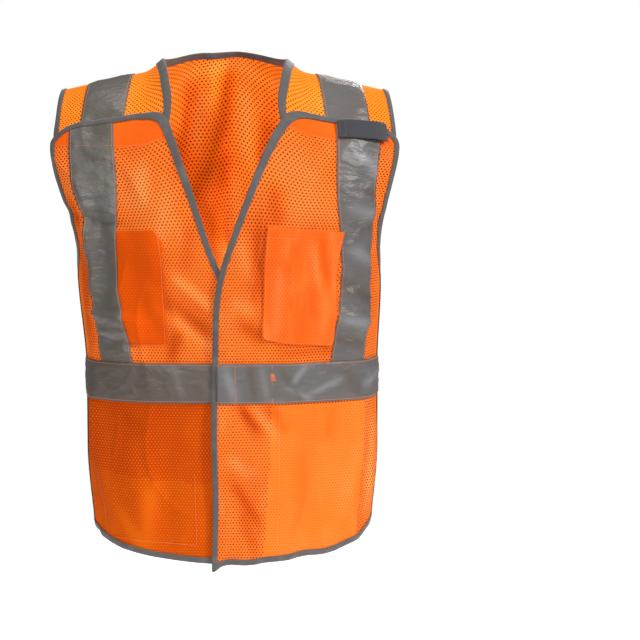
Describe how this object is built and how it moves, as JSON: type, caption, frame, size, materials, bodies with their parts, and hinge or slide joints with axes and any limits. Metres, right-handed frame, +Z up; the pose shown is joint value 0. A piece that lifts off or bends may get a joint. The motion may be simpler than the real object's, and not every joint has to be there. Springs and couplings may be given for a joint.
{
  "type": "high visibility vest",
  "caption": "Sleeveless orange mesh safety vest with grey reflective tapes; its fronts fasten at shoulders, sides and centre with hook-and-loop and pull apart.",
  "frame": {"origin": "midway between the shoulders, at the height of the base of the neck, where the vest hangs on its wearer", "axes": "+Z up, the wearer faces -Y, the wearer's left is +X"},
  "size_m": [0.4467, 0.2624, 0.6495],
  "materials": {
    "mesh_fabric": "fluorescent orange knitted mesh with small round holes",
    "pocket_cloth": "fluorescent orange close-knit tricot",
    "reflective_tape": "grey retroreflective tape with a soft satin sheen",
    "edge_binding": "matt grey folded binding tape",
    "dark_webbing": "dark charcoal ribbed webbing",
    "hook_and_loop": "hook-and-loop strip, orange"
  },
  "bodies": {
    "back": {"back_panel": "mesh_fabric", "neck_binding": "edge_binding", "left_armhole_binding": "edge_binding", "right_armhole_binding": "edge_binding", "back_hem_binding": "edge_binding", "back_waist_band": "reflective_tape", "left_back_tape": "reflective_tape", "right_back_tape": "reflective_tape", "left_shoulder_loop_strip": "hook_and_loop", "right_shoulder_loop_strip": "hook_and_loop", "left_side_loop_patch": "hook_and_loop", "right_side_loop_patch": "hook_and_loop"},
    "left_tab": {"left_side_tab": "dark_webbing"},
    "right_tab": {"right_side_tab": "dark_webbing"},
    "left_front": {"left_front_panel": "mesh_fabric", "left_front_binding": "edge_binding", "left_front_tape": "reflective_tape", "left_front_waist_band": "reflective_tape", "left_shoulder_hook_strip": "hook_and_loop", "front_hook_patch": "hook_and_loop", "chest_pocket": "pocket_cloth", "left_lower_pocket": "pocket_cloth", "mic_tab": "dark_webbing"},
    "right_front": {"right_front_panel": "mesh_fabric", "right_front_binding": "edge_binding", "right_front_tape": "reflective_tape", "right_front_waist_band": "reflective_tape", "right_shoulder_hook_strip": "hook_and_loop", "front_loop_patch": "hook_and_loop", "right_chest_pocket": "pocket_cloth", "right_lower_pocket": "pocket_cloth"}
  },
  "joints": [
    {"name": "left_front_breakaway", "type": "slide", "parent": "back", "child": "left_tab", "axis": [0.77, -0.638, 0], "range_m": [0, 0.06]},
    {"name": "left_front_swing", "type": "hinge", "parent": "left_tab", "child": "left_front", "pos_m": [0.2, 0.002, -0.3], "axis": [0, 0, 1], "range_deg": [0, 100]},
    {"name": "right_front_breakaway", "type": "slide", "parent": "back", "child": "right_tab", "axis": [-0.77, -0.638, 0], "range_m": [0, 0.036]},
    {"name": "right_front_swing", "type": "hinge", "parent": "right_tab", "child": "right_front", "pos_m": [-0.2, 0.002, -0.3], "axis": [0, 0, -1], "range_deg": [0, 60]}
  ],
  "couplings": [
    {"joint": "right_front_breakaway", "follows": "left_front_breakaway", "ratio": 0.6},
    {"joint": "right_front_swing", "follows": "left_front_swing", "ratio": 0.6}
  ]
}
